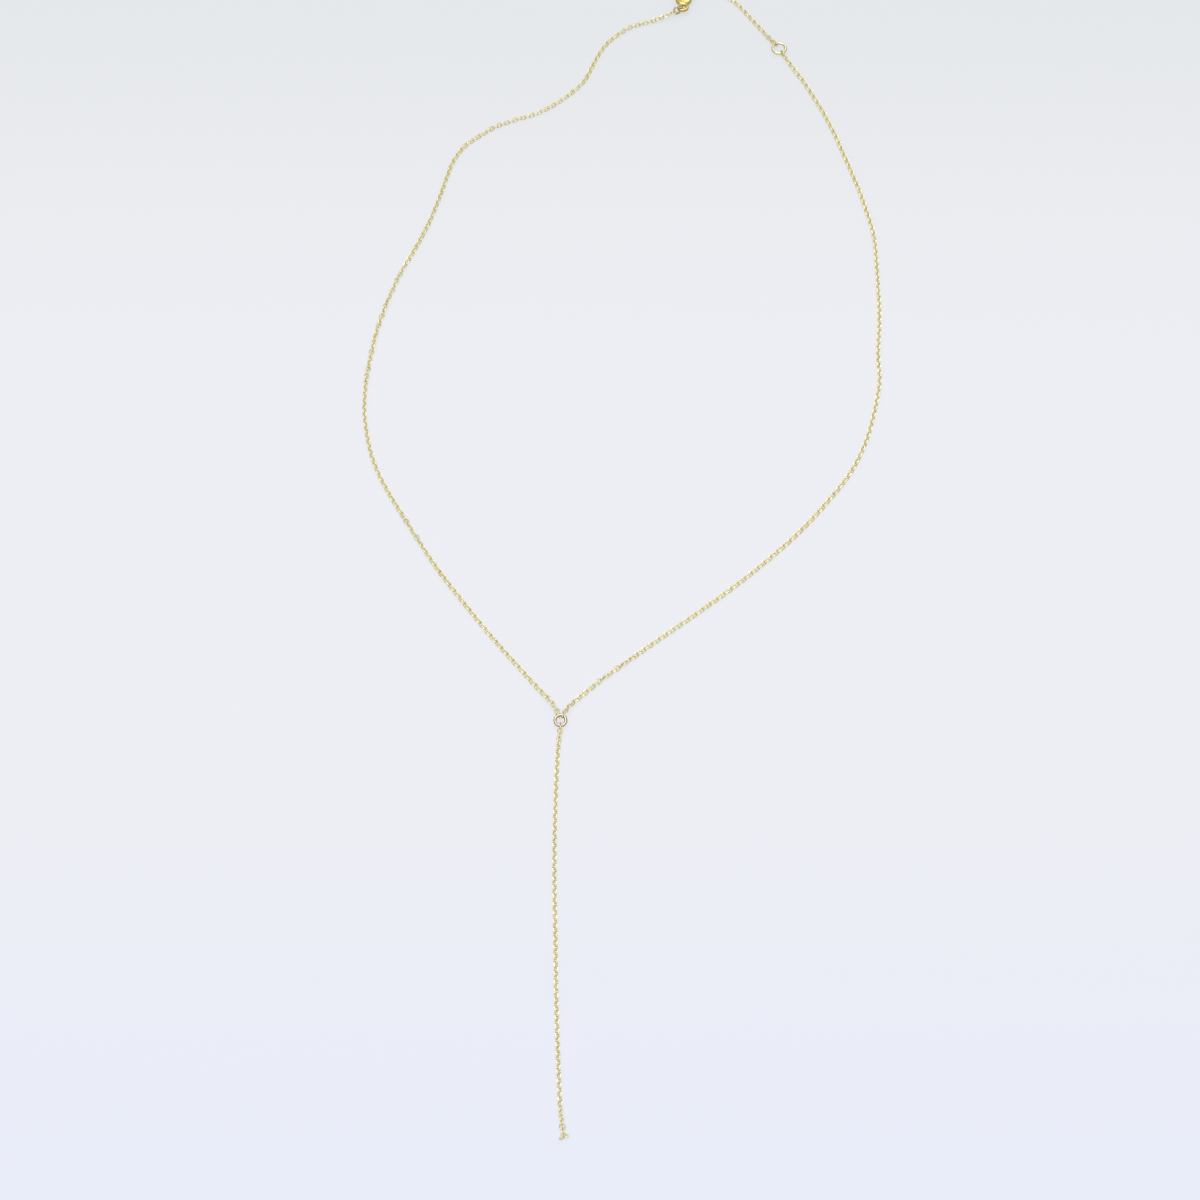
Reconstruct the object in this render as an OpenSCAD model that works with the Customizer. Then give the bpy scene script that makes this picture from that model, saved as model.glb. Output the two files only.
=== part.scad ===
// A fine Y necklace that lies on a surface with its clasp closed. Two neck strands and a drop of
// cable chain meet at a small thick ring, and a short extender leads from the chain's end to the clasp.
// All sizes are millimetres. The origin is under the middle of the necklace, on the surface that it
// lies on. +X is to the right, +Y runs from the drop's end towards the clasp, and +Z is up.

/* [Chain] */
// Diameter of the links' wire
link_wire = 0.24; // [0.2:0.01:0.26]
// Outside width of one link
link_w = 0.98; // [0.96:0.01:1.04]
// Distance from the middle of one link to the next
link_pitch = 0.854; // [0.84:0.002:0.87]
// Clearance between a link and what passes through it
clearance = 0.12; // [0.1:0.01:0.13]

/* [Rings] */
// Outside diameter of the ring where the three strands meet
y_ring_d = 2.4; // [2.35:0.05:2.6]
// Diameter of its wire
y_ring_wire = 0.56; // [0.5:0.02:0.6]
// How many degrees its upper edge is tipped up
y_ring_tip = 27; // [20:1:30]
// Outside diameter of the extender's two rings
extender_ring_d = 3.1; // [2.9:0.1:3.3]
// Diameter of their wire
extender_ring_wire = 0.56; // [0.5:0.02:0.6]
// How many degrees the ring at the extender's start is tipped up at its upper edge
extender_ring_tip = 9; // [0:1:15]
// Outside diameter of the clasp's ring
clasp_ring_d = 2.4; // [2.3:0.05:2.5]
// Diameter of its wire
clasp_ring_wire = 0.4; // [0.34:0.02:0.42]

/* [Clasp] */
// Length of the clasp from its eye to the top of its hook
clasp_len = 10; // [9.8:0.1:10.2]
// Width of its body
clasp_w = 3.6; // [3.4:0.1:3.8]
// Thickness of its body
clasp_t = 1.1; // [1:0.1:1.2]
// Outside diameter of its eye
eye_d = 2.4; // [2.3:0.05:2.45]
// Diameter of the hole in its eye
eye_hole_d = 1.1; // [1:0.05:1.2]
// Thickness of its eye
eye_t = 0.7; // [0.5:0.05:0.8]

/* [Hidden] */
chain_gold = "#d6cd96";
ring_gold = "#dccfb6";
clasp_gold = "#cdbd7f";
smooth = 48;

// Inside length and width of a link, and of an end link, which also holds a ring's wire.
link_len = link_pitch + clearance;
link_gap = link_w - 2 * link_wire;
function end_link_len(ring_wire) = ring_wire + link_wire + 3 * clearance;
function end_link_gap(ring_wire) = ring_wire + 2 * clearance;

// Heights: a link's middle above the surface when the link is rolled, where 0 degrees is on edge.
// The chain lies on two edges of each link, and an end link on edge carries the ring's wire.
lying_roll = 45;
link_bend_r = (link_gap + link_wire) / 2;
function resting_z(roll) = link_bend_r * max(abs(cos(roll)), abs(sin(roll))) + link_wire / 2;
function standing_z(ring_wire) = end_link_gap(ring_wire) / 2 + link_wire;
chain_z = resting_z(lying_roll);

// A ring is [middle, first direction, second direction, outside diameter, wire diameter].
function ring_r(ring) = (ring[3] - ring[4]) / 2;
function ring_spot(ring, angle) = ring[0] + ring_r(ring) * (cos(angle) * ring[1] + sin(angle) * ring[2]);
function ring_tangent(ring, angle) = cos(angle) * ring[2] - sin(angle) * ring[1];

y_ring_z = standing_z(y_ring_wire) + (y_ring_d - y_ring_wire) / 2 * sin(y_ring_tip);
Y_RING = [
    [-11.2, -52.8, y_ring_z], [1, 0, 0], [0, cos(y_ring_tip), sin(y_ring_tip)], y_ring_d, y_ring_wire
];
extender_ring_z = standing_z(extender_ring_wire)
    + (extender_ring_d - extender_ring_wire) / 2 * sin(extender_ring_tip);
EXTENDER_RING = [
    [30.7, 115.2, extender_ring_z],
    [1, 0, 0], [0, cos(extender_ring_tip), sin(extender_ring_tip)], extender_ring_d, extender_ring_wire
];

// The clasp lies flat. Its middle is level with the end ring's, so that both rings pass under it.
clasp_eye = [11.9, 126.6];
clasp_heading = 85;
end_ring_lean = 34;
end_ring_z = extender_ring_wire / 2 + (extender_ring_d - extender_ring_wire) / 2 * cos(end_ring_lean);
clasp_z = end_ring_z;
clasp_along = [cos(clasp_heading), sin(clasp_heading), 0];
clasp_across = [sin(clasp_heading), -cos(clasp_heading), 0];
function on_clasp(across, along) =
    [clasp_eye[0], clasp_eye[1], clasp_z] + across * clasp_across + along * clasp_along;

// The clasp's ring stands on edge through the eye's rim and points to the left strand.
clasp_ring_heading = 213;
clasp_ring_out = [cos(clasp_ring_heading), sin(clasp_ring_heading), 0];
eye_rim_r = (eye_d + eye_hole_d) / 4;
clasp_ring_slack = 0.25;
CLASP_RING = [
    on_clasp(0, 0) + (eye_rim_r + clasp_ring_slack) * clasp_ring_out,
    clasp_ring_out, [0, 0, 1], clasp_ring_d, clasp_ring_wire
];

// The hook's opening, and the extender's end ring, which leans through it round the hook's side.
hook_hole_w = 2;
hook_hole_low = 3.6;
hook_hole_high = 7.6;
hook_side = (clasp_w + hook_hole_w) / 4;
end_ring_along = 5.8;
END_RING = [
    on_clasp(hook_side, end_ring_along),
    [1, 0, 0], [0, -sin(end_ring_lean), cos(end_ring_lean)], extender_ring_d, extender_ring_wire
];

// Where each strand holds its rings, as angles round the ring.
left_on_y = 108;
right_on_y = 63;
drop_on_y = 270;
left_on_clasp = -15;
right_on_extender = -66;
extender_start = 120;
extender_end = -10;

// The strands' routes, point by point. A point with no height lies on the surface.
LEFT_ROUTE = [
    [-11.8, -50.9, 1.2], [-12.8, -48.8, 1.05], [-14, -47, 0.75], [-17.5, -42], [-23.5, -33.5], [-29, -25],
    [-33, -18.5], [-37, -11], [-42, -1], [-44.5, 5], [-46, 10.5], [-47, 17], [-47.25, 22], [-47, 28],
    [-46, 36.5], [-45, 42], [-43.5, 48], [-42, 53], [-39.5, 59.5], [-37.5, 65], [-36, 70], [-34.5, 76],
    [-33.5, 80.5], [-32.5, 84], [-30.5, 88], [-27.5, 91], [-24.5, 93.5], [-20.5, 95.5], [-17, 97],
    [-13.5, 99.5], [-10, 103], [-7.5, 106.5], [-6, 110.5], [-4.5, 114.5], [-2.5, 118], [1, 121.5],
    [3.5, 122.75], [7, 124, 0.6], [9, 125, 0.9]
];
RIGHT_ROUTE = [
    [-10.5, -51.3, 1.5], [-9.9, -50, 1.15], [-8.25, -47.75, 0.65], [-4.75, -44], [-1.5, -41], [4, -36],
    [8, -32.5], [12.5, -28.5], [18.5, -23], [24, -17.5], [29, -12], [33, -7], [36.5, -2], [38.5, 1],
    [41, 5.5], [43.5, 12], [45, 18], [46, 23], [46.5, 27], [46.5, 33], [47, 40], [47.25, 46], [47.25, 51],
    [47.25, 57], [47, 64], [46, 70], [45, 75], [43.5, 81], [42, 86.5], [40.5, 92], [38.5, 98],
    [36.5, 103], [35, 106.5], [33, 110.5], [32, 112.5, 0.55]
];
EXTENDER_ROUTE = [
    [29.5, 117.25, 0.7], [28.25, 119.5], [26.5, 122.5], [25, 125], [23.5, 127.5], [22, 129.5],
    [20, 131, 0.55], [17.25, 132, 0.75]
];
DROP_ROUTE = [
    [-11.25, -55, 0.6], [-11.5, -57.5], [-11.75, -63], [-12, -74], [-12, -84], [-11.75, -97],
    [-11.5, -110], [-11.25, -117.5], [-11, -124.5], [-10.75, -129.5], [-10.25, -134.5]
];
// Headings of the drop's last two links, which lie turned aside
turned_headings = [-30, 212];

// A route is smoothed into short straight steps by a curve through all its points.
steps = 12;
function grounded(p) = [p[0], p[1], len(p) > 2 ? p[2] : chain_z];
function curve_at(a, b, c, d, t) =
    (2 * b + (c - a) * t + (2 * a - 5 * b + 4 * c - d) * t * t + (3 * b - a - 3 * c + d) * t * t * t) / 2;
function lifted(p) = [p[0], p[1], max(p[2], chain_z)];
function smoothed(p) = let (n = len(p) - 1) [
    for (i = [0:n - 1], t = [0:steps - 1])
        lifted(curve_at(i > 0 ? p[i - 1] : 2 * p[0] - p[1], p[i], p[i + 1],
            i < n - 1 ? p[i + 2] : 2 * p[n] - p[n - 1], t / steps)),
    lifted(p[n])
];
function strand(first, route, last = undef) = smoothed([
    first, for (p = route) grounded(p), if (last != undef) last
]);

// Distances along a strand, each with its point: rows of [distance, x, y, z].
function measured(p) = [
    for (i = 0, s = 0; i < len(p); s = i + 1 < len(p) ? s + norm(p[i + 1] - p[i]) : s, i = i + 1)
        [s, p[i][0], p[i][1], p[i][2]]
];
function total(rows) = rows[len(rows) - 1][0];
function column(rows, k) = [for (row = rows) [row[0], row[k]]];
function point_at(cols, s) = [lookup(s, cols[0]), lookup(s, cols[1]), lookup(s, cols[2])];
function columns(rows) = [column(rows, 1), column(rows, 2), column(rows, 3)];

// Directions across a strand: side is level, and over is square to it.
function unit(v) = v / norm(v);
function side_of(u) = unit(cross([0, 0, 1], u));
function over_of(u) = cross(u, side_of(u));

// How far an end link is rolled to stand square to the wire that it holds, from -90 to 90 degrees
// of the roll that it would have anyway.
function square_roll(u, tangent) = let (w = cross(tangent, u)) atan2(w * side_of(u), w * over_of(u));
function near_half_turn(a, middle) = a - 180 * round((a - middle) / 180);

// Where the links of a chain sit along it. An end link sits on its ring's wire, and the others share
// what lies between at the pitch or a hair under it.
function first_seat(wire) = end_link_len(wire) / 2 - clearance - wire / 2;
function second_seat(wire) = first_seat(wire) + (end_link_len(wire) + link_len) / 2 - clearance;
function seats(length, wire_a, wire_b) =
    let (a = second_seat(wire_a), b = length - second_seat(wire_b))
    let (n = ceil((b - a) / link_pitch))
    [first_seat(wire_a), for (i = [0:n]) a + (b - a) * i / n, length - first_seat(wire_b)];
function free_seats(length, wire) =
    let (a = second_seat(wire), n = floor((length - a) / link_pitch))
    [first_seat(wire), for (i = [0:n]) a + link_pitch * i];

// The roll of a link: next links are a quarter turn apart, and the chain eases from the roll at its
// first ring into lying on two edges, and back to the roll at its last ring.
ease_len = 6 * link_pitch;
function eased(s) = max(0, min(1, s / ease_len));
function roll_at(i, s, length, roll_a, roll_b) =
    90 * i + roll_a + (lying_roll - roll_a) * eased(s) + (roll_b - lying_roll) * eased(s - length + ease_len);

// The chain's middle rises where its links turn on edge, so that each still rests on the surface.
function raised(rows, start, length, roll_a, roll_b) = [
    for (row = rows)
        let (rest = resting_z(roll_at(0, row[0] - start, length, roll_a, roll_b)))
        [row[0], row[1], row[2], max(row[3], rest)]
];

// One link with its length along X and its width along Z, before it is rolled and turned.
module link(inner_len, inner_w) {
    bend_r = (inner_w + link_wire) / 2;
    straight = inner_len - inner_w;
    for (side = [-1, 1]) {
        translate([side * straight / 2, 0, 0])
            rotate([90, 0, 0]) rotate([0, 0, side > 0 ? -90 : 90])
                rotate_extrude(angle = 180, $fn = smooth)
                    translate([bend_r, 0]) circle(d = link_wire, $fn = smooth / 2);
        translate([-straight / 2, 0, side * bend_r])
            rotate([0, 90, 0]) cylinder(d = link_wire, h = straight, $fn = smooth / 2);
    }
}

module placed_link(center, u, roll, inner_len, inner_w) {
    heading = atan2(u[1], u[0]);
    climb = asin(u[2]);
    translate(center) rotate([0, -climb, heading]) rotate([-roll, 0, 0]) link(inner_len, inner_w);
}

// A link runs from end to end of its own stretch of the route, and one on a ring sits right at its distance.
function chord(cols, s, l) = unit(point_at(cols, s + l / 2) - point_at(cols, s - l / 2));
function link_spot(cols, s, l, on_ring) =
    on_ring ? point_at(cols, s) : (point_at(cols, s + l / 2) + point_at(cols, s - l / 2)) / 2;

// The links that numbers names of a chain that ends on rings at both ends, where -1 is the last link.
module chain_links(p, ring_a, angle_a, ring_b, angle_b, numbers) {
    rows = measured(p);
    spots = seats(total(rows), ring_a[4], ring_b[4]);
    last = len(spots) - 1;
    span = spots[last] - spots[0];
    first_len = end_link_len(ring_a[4]);
    last_len = end_link_len(ring_b[4]);
    u_a = chord(columns(rows), spots[0], first_len);
    u_b = chord(columns(rows), spots[last], last_len);
    roll_a = near_half_turn(square_roll(u_a, ring_tangent(ring_a, angle_a)), 0);
    roll_b = near_half_turn(square_roll(u_b, ring_tangent(ring_b, angle_b)) - 90 * last, lying_roll);
    cols = columns(raised(rows, spots[0], span, roll_a, roll_b));
    for (i = numbers) {
        k = i < 0 ? last + 1 + i : i;
        on_a = k == 0;
        on_b = k == last;
        inner_len = on_a ? first_len : on_b ? last_len : link_len;
        inner_w = on_a ? end_link_gap(ring_a[4]) : on_b ? end_link_gap(ring_b[4]) : link_gap;
        placed_link(link_spot(cols, spots[k], inner_len, on_a || on_b), chord(cols, spots[k], inner_len),
            roll_at(k, spots[k] - spots[0], span, roll_a, roll_b), inner_len, inner_w);
    }
}

// A plain tube of eight sides along a strand, between two distances.
tube_sides = 8;
tube_rings = 40;
module tube_along(p, from, to) {
    rows = measured(p);
    cols = columns(rows);
    r = chain_z / cos(180 / tube_sides);
    points = [
        for (i = [0:tube_rings - 1])
            let (s = from + (to - from) * i / (tube_rings - 1))
            let (center = point_at(cols, s), u = chord(cols, s, link_len))
            for (k = [0:tube_sides - 1])
                let (a = 360 * (k + 0.5) / tube_sides)
                center + r * (cos(a) * side_of(u) + sin(a) * over_of(u))
    ];
    faces = [
        [for (k = [0:tube_sides - 1]) k],
        [for (k = [tube_sides - 1:-1:0]) (tube_rings - 1) * tube_sides + k],
        for (i = [0:tube_rings - 2], k = [0:tube_sides - 1])
            let (a = i * tube_sides, b = a + tube_sides, j = (k + 1) % tube_sides)
            [a + k, b + k, b + j, a + j]
    ];
    polyhedron(points, faces, convexity = 8);
}

// A neck strand is a plain tube between the links that lead to the ring at each end.
end_links = 3;
end_numbers = [for (i = [0:end_links - 1]) each [i, -1 - i]];
module strand_tube(p, ring_a, ring_b) {
    spots = seats(total(measured(p)), ring_a[4], ring_b[4]);
    reach = link_len / 2 + link_wire + clearance;
    tube_along(p, spots[end_links - 1] + reach, spots[len(spots) - end_links] - reach);
}

module round_ring(ring) {
    normal = cross(ring[1], ring[2]);
    tilt = acos(normal[2]);
    heading = atan2(normal[1], normal[0]);
    translate(ring[0]) rotate([0, tilt, heading])
        rotate_extrude($fn = 2 * smooth) translate([ring_r(ring), 0]) circle(d = ring[4], $fn = smooth / 2);
}

left_line = strand(ring_spot(Y_RING, left_on_y), LEFT_ROUTE, ring_spot(CLASP_RING, left_on_clasp));
module neck_chain_left() {
    color(chain_gold) strand_tube(left_line, Y_RING, CLASP_RING);
}
module neck_chain_left_ends() {
    color(chain_gold)
        chain_links(left_line, Y_RING, left_on_y, CLASP_RING, left_on_clasp, end_numbers);
}

right_line = strand(ring_spot(Y_RING, right_on_y), RIGHT_ROUTE, ring_spot(EXTENDER_RING, right_on_extender));
module neck_chain_right() {
    color(chain_gold) strand_tube(right_line, Y_RING, EXTENDER_RING);
}
module neck_chain_right_ends() {
    color(chain_gold)
        chain_links(right_line, Y_RING, right_on_y, EXTENDER_RING, right_on_extender, end_numbers);
}

module extender_chain() {
    p = strand(ring_spot(EXTENDER_RING, extender_start), EXTENDER_ROUTE, ring_spot(END_RING, extender_end));
    spots = seats(total(measured(p)), extender_ring_wire, extender_ring_wire);
    color(chain_gold)
        chain_links(p, EXTENDER_RING, extender_start, END_RING, extender_end, [0:len(spots) - 1]);
}

module y_ring() {
    color(ring_gold) round_ring(Y_RING);
}

module extender_ring() {
    color(chain_gold) round_ring(EXTENDER_RING);
}

module end_ring() {
    color(chain_gold) round_ring(END_RING);
}

module clasp_ring() {
    color(chain_gold) round_ring(CLASP_RING);
}

// The drop: links down its route, then the last two, turned aside. The link before them stands, the
// next lies flat with its bend round that one's end, and the last stands in the flat one's other bend.
end_reach = (link_len + link_wire) / 2;
bend_reach = (link_len - link_gap) / 2;
module drop_chain() {
    rows = measured(strand(ring_spot(Y_RING, drop_on_y), DROP_ROUTE));
    spots = free_seats(total(rows), y_ring_wire);
    last = len(spots) - 1;
    span = spots[last] - spots[0];
    first_len = end_link_len(y_ring_wire);
    u_a = chord(columns(rows), spots[0], first_len);
    roll_a = near_half_turn(square_roll(u_a, ring_tangent(Y_RING, drop_on_y)), 0);
    roll_b = near_half_turn(-90 * last, lying_roll);
    cols = columns(raised(rows, spots[0], span, roll_a, roll_b));
    u_last = chord(cols, spots[last], link_len);
    u_flat = [cos(turned_headings[0]), sin(turned_headings[0]), 0];
    u_end = [cos(turned_headings[1]), sin(turned_headings[1]), 0];
    flat_at = link_spot(cols, spots[last], link_len, false) + end_reach * u_last + bend_reach * u_flat;
    color(chain_gold) {
        for (i = [0:last]) {
            inner_len = i == 0 ? first_len : link_len;
            placed_link(link_spot(cols, spots[i], inner_len, i == 0), chord(cols, spots[i], inner_len),
                roll_at(i, spots[i] - spots[0], span, roll_a, roll_b),
                inner_len, i == 0 ? end_link_gap(y_ring_wire) : link_gap);
        }
        placed_link(flat_at, u_flat, 90, link_len, link_gap);
        placed_link(flat_at + bend_reach * u_flat + end_reach * u_end, u_end, 0, link_len, link_gap);
    }
}

// The clasp: an eye, a body that swells to its full width, and a hook round an opening.
module clasp() {
    hook_r = clasp_w / 2;
    top = clasp_len - eye_d / 2;
    base_r = 1.6;
    base_at = 2.15;
    color(clasp_gold)
        translate([clasp_eye[0], clasp_eye[1], clasp_z]) rotate([0, 0, clasp_heading - 90]) {
            difference() {
                union() {
                    cylinder(d = eye_d, h = eye_t, center = true, $fn = smooth);
                    translate([0, base_at / 2, 0]) cube([eye_hole_d, base_at, eye_t], center = true);
                }
                cylinder(d = eye_hole_d, h = 2 * eye_t, center = true, $fn = smooth);
            }
            difference() {
                union() {
                    translate([0, base_at, -clasp_t / 2]) cylinder(r = base_r, h = clasp_t, $fn = smooth);
                    translate([0, top - hook_r, -clasp_t / 2])
                        cylinder(r = hook_r, h = clasp_t, $fn = smooth);
                    translate([0, 0, -clasp_t / 2]) linear_extrude(clasp_t) polygon([
                        [-base_r, base_at], [base_r, base_at], [hook_r, hook_hole_low],
                        [hook_r, top - hook_r], [-hook_r, top - hook_r], [-hook_r, hook_hole_low]
                    ]);
                }
                for (y = [hook_hole_low, hook_hole_high] + [1, -1] * hook_hole_w / 2)
                    translate([0, y, -clasp_t]) cylinder(d = hook_hole_w, h = 2 * clasp_t, $fn = smooth);
                translate([-hook_hole_w / 2, hook_hole_low + hook_hole_w / 2, -clasp_t])
                    cube([hook_hole_w, hook_hole_high - hook_hole_low - hook_hole_w, 2 * clasp_t]);
            }
        }
}

neck_chain_left();
neck_chain_left_ends();
neck_chain_right();
neck_chain_right_ends();
y_ring();
drop_chain();
extender_ring();
extender_chain();
end_ring();
clasp();
clasp_ring();
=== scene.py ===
"""A fine gold Y necklace that lies on a pale surface with its clasp closed.

It is dressed round its CAD frame. The chains are rebuilt link by link with the diamond cuts that
the plain solids leave out, the rings get round wire with a dip at their joint, and the clasp gets
softened sides. All lengths are in metres.
"""

import logging
from dataclasses import dataclass, field
from enum import Enum

import bpy
import numpy as np
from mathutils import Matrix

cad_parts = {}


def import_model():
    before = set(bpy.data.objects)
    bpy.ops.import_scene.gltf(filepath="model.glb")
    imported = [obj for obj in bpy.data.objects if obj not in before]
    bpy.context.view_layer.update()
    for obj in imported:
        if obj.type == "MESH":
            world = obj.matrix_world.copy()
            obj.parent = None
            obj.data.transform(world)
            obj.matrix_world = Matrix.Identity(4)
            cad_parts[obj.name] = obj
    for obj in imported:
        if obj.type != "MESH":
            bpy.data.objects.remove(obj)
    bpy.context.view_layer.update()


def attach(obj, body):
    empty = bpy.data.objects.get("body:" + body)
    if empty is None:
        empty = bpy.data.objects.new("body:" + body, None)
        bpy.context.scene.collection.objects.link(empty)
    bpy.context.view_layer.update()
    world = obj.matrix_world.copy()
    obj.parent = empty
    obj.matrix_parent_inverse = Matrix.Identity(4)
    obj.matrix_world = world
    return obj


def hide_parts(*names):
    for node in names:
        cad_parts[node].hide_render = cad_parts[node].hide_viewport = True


MM = 0.001
BODY = "root"
# Tone of a piece that has no differences of its own, between its deep and its pale colour.
EVEN_TONE = 0.25
# Nearly all of a noise texture's values lie between these two.
NOISE_LOW, NOISE_HIGH = 0.3, 0.7

log = logging.getLogger("y_necklace")


def unit(vectors: np.ndarray) -> np.ndarray:
    """Scales vectors to length one.

    Args:
        vectors: Vectors along the last axis.

    Returns:
        The same directions with length one.
    """
    return vectors / np.linalg.norm(vectors, axis=-1, keepdims=True)


def side_of(along: np.ndarray) -> np.ndarray:
    """The level direction to the left of a heading: up crossed with the heading."""
    return unit(np.cross([0.0, 0.0, 1.0], along))


def over_of(along: np.ndarray) -> np.ndarray:
    """The direction square to a heading and to its left side."""
    return np.cross(along, side_of(along))


def linear_colour(text: str) -> tuple[float, float, float, float]:
    """Turns an sRGB hex colour into the linear one that Blender takes.

    Args:
        text: A colour such as "#d6cd96".

    Returns:
        Red, green, blue and an alpha of one.
    """
    code = np.array([int(text[i:i + 2], 16) for i in (1, 3, 5)]) / 255
    value = np.where(code <= 0.04045, code / 12.92, ((code + 0.055) / 1.055) ** 2.4)
    return (float(value[0]), float(value[1]), float(value[2]), 1.0)


def grid_faces(rings: int, sides: int) -> np.ndarray:
    """Quads of a closed tube whose points run ring by ring, facing outward.

    Args:
        rings: How many rings of points the tube has; the last ring joins the first.
        sides: Points in each ring.

    Returns:
        Four point numbers a quad.
    """
    ring = np.arange(rings)[:, None]
    side = np.arange(sides)[None, :]
    here, after = ring * sides, (ring + 1) % rings * sides
    nxt = (side + 1) % sides
    return np.stack([here + side, here + nxt, after + nxt, after + side], axis=-1).reshape(-1, 4)


def add_node(
    tree: bpy.types.NodeTree,
    kind: str,
    settings: dict,
    links: dict,
    stops: tuple[tuple[float, tuple[float, ...]], ...] = (),
) -> bpy.types.Node:
    """Adds one node.

    Args:
        tree: The node tree that it goes into.
        kind: Blender's name for the kind of node.
        settings: Values by property name, or by input number or name for an input.
        links: Sockets to join to this node's inputs, by input number or name.
        stops: Places and colours of a colour ramp's stops, from its first end to its last.

    Returns:
        The new node.
    """
    node = tree.nodes.new(kind)
    for key, value in settings.items():
        if isinstance(key, str) and hasattr(node, key):
            setattr(node, key, value)
        else:
            node.inputs[key].default_value = value
    for key, socket in links.items():
        tree.links.new(socket, node.inputs[key])
    if stops:
        elements = node.color_ramp.elements
        for end in (0, -1):
            elements[end].position, elements[end].color = stops[end]
        for position, colour in stops[1:-1]:
            elements.new(position).color = colour
    return node


# Finishes


class Slot(Enum):
    """The record's material slots."""

    CHAIN = "chain_gold"
    Y_RING = "polished_pale_gold"
    RING = "ring_gold"
    CLASP = "clasp_gold"


@dataclass(frozen=True)
class GoldPlate:
    """Gold plate on brass: a metal whose colour drifts with the plate, with fine polishing marks.

    Attributes:
        name: The material's name.
        pale: Colour where the plate is bright, as sRGB hex.
        deep: Colour where it is thicker and warmer, as sRGB hex.
        roughness: Roughness between the cuts.
        cut_roughness: Roughness on a diamond-cut face.
        drift_size: Size of the colour's patches.
        drift_share: How much the patches count in the colour.
        mark_size: Spacing of the polishing marks. Real ones are too fine to show in a picture of
            the whole necklace, so they are drawn this coarse.
        mark_depth: How deep the marks look.
        mark_strength: How much of the marks' relief is shown.
        dull: Least and greatest roughness that the marks give, as shares of the roughness.
    """

    name: str
    pale: str
    deep: str
    roughness: float
    cut_roughness: float
    drift_size: float = 5.0 * MM
    drift_share: float = 0.5
    mark_size: float = 0.12 * MM
    mark_depth: float = 0.004 * MM
    mark_strength: float = 0.5
    dull: tuple[float, float] = (0.75, 1.3)

    def material(self) -> bpy.types.Material:
        """Builds the material.

        Returns:
            A metal that reads Object coordinates and the attributes "tone" and "cut" of a mesh.
        """
        made = bpy.data.materials.new(self.name)
        made.use_nodes = True
        tree = made.node_tree
        tree.nodes.clear()
        place = add_node(tree, "ShaderNodeTexCoord", {}, {})
        drift = add_node(
            tree, "ShaderNodeTexNoise", {"Scale": 1 / self.drift_size, "Detail": 2.0},
            {"Vector": place.outputs["Object"]},
        )
        tone = add_node(tree, "ShaderNodeAttribute", {"attribute_name": "tone"}, {})
        shade = add_node(
            tree, "ShaderNodeMath", {"operation": "MULTIPLY_ADD", 1: self.drift_share},
            {0: drift.outputs["Fac"], 2: tone.outputs["Fac"]},
        )
        colour = add_node(
            tree, "ShaderNodeMix",
            {"data_type": "RGBA", "clamp_factor": True,
             6: linear_colour(self.deep), 7: linear_colour(self.pale)},
            {0: shade.outputs[0]},
        )
        cut = add_node(tree, "ShaderNodeAttribute", {"attribute_name": "cut"}, {})
        marks = add_node(
            tree, "ShaderNodeTexNoise",
            {"Scale": 1 / self.mark_size, "Detail": 3.0, "Roughness": 0.6},
            {"Vector": place.outputs["Object"]},
        )
        least, greatest = self.dull
        dull = add_node(
            tree, "ShaderNodeMapRange",
            {"From Min": NOISE_LOW, "From Max": NOISE_HIGH,
             "To Min": self.roughness * least, "To Max": self.roughness * greatest},
            {"Value": marks.outputs["Fac"]},
        )
        rough = add_node(
            tree, "ShaderNodeMix", {"data_type": "FLOAT", 3: self.cut_roughness},
            {0: cut.outputs["Fac"], 2: dull.outputs[0]},
        )
        bump = add_node(
            tree, "ShaderNodeBump", {"Strength": self.mark_strength, "Distance": self.mark_depth},
            {"Height": marks.outputs["Fac"]},
        )
        shader = add_node(
            tree, "ShaderNodeBsdfPrincipled", {"Metallic": 1.0},
            {"Base Color": colour.outputs[2], "Roughness": rough.outputs[0],
             "Normal": bump.outputs[0]},
        )
        add_node(tree, "ShaderNodeOutputMaterial", {}, {"Surface": shader.outputs[0]})
        return made


# Pale yellow gold wash over brass, cut with a diamond tool: bright flats, satin in between.
CHAIN_GOLD = GoldPlate("diamond_cut_gold_wash", "#f2ebc0", "#e4d89c", 0.42, 0.38)
# Solid ring of pale rose-white alloy, barrel polished: soft cream with dark edges.
Y_RING_GOLD = GoldPlate("barrel_polished_pale_alloy", "#c8b8a4", "#b4a28b", 0.18, 0.18)
# Soft-soldered jump ring wire, gold washed.
RING_GOLD = GoldPlate("gold_washed_wire", "#e6ddbd", "#cec296", 0.24, 0.24)
# Cast clasp, gold plated and tumbled: smooth, a little worn by handling.
CLASP_GOLD = GoldPlate("tumbled_gold_plate", "#d7c683", "#b8a558", 0.26, 0.26, mark_size=0.2 * MM)


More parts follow.
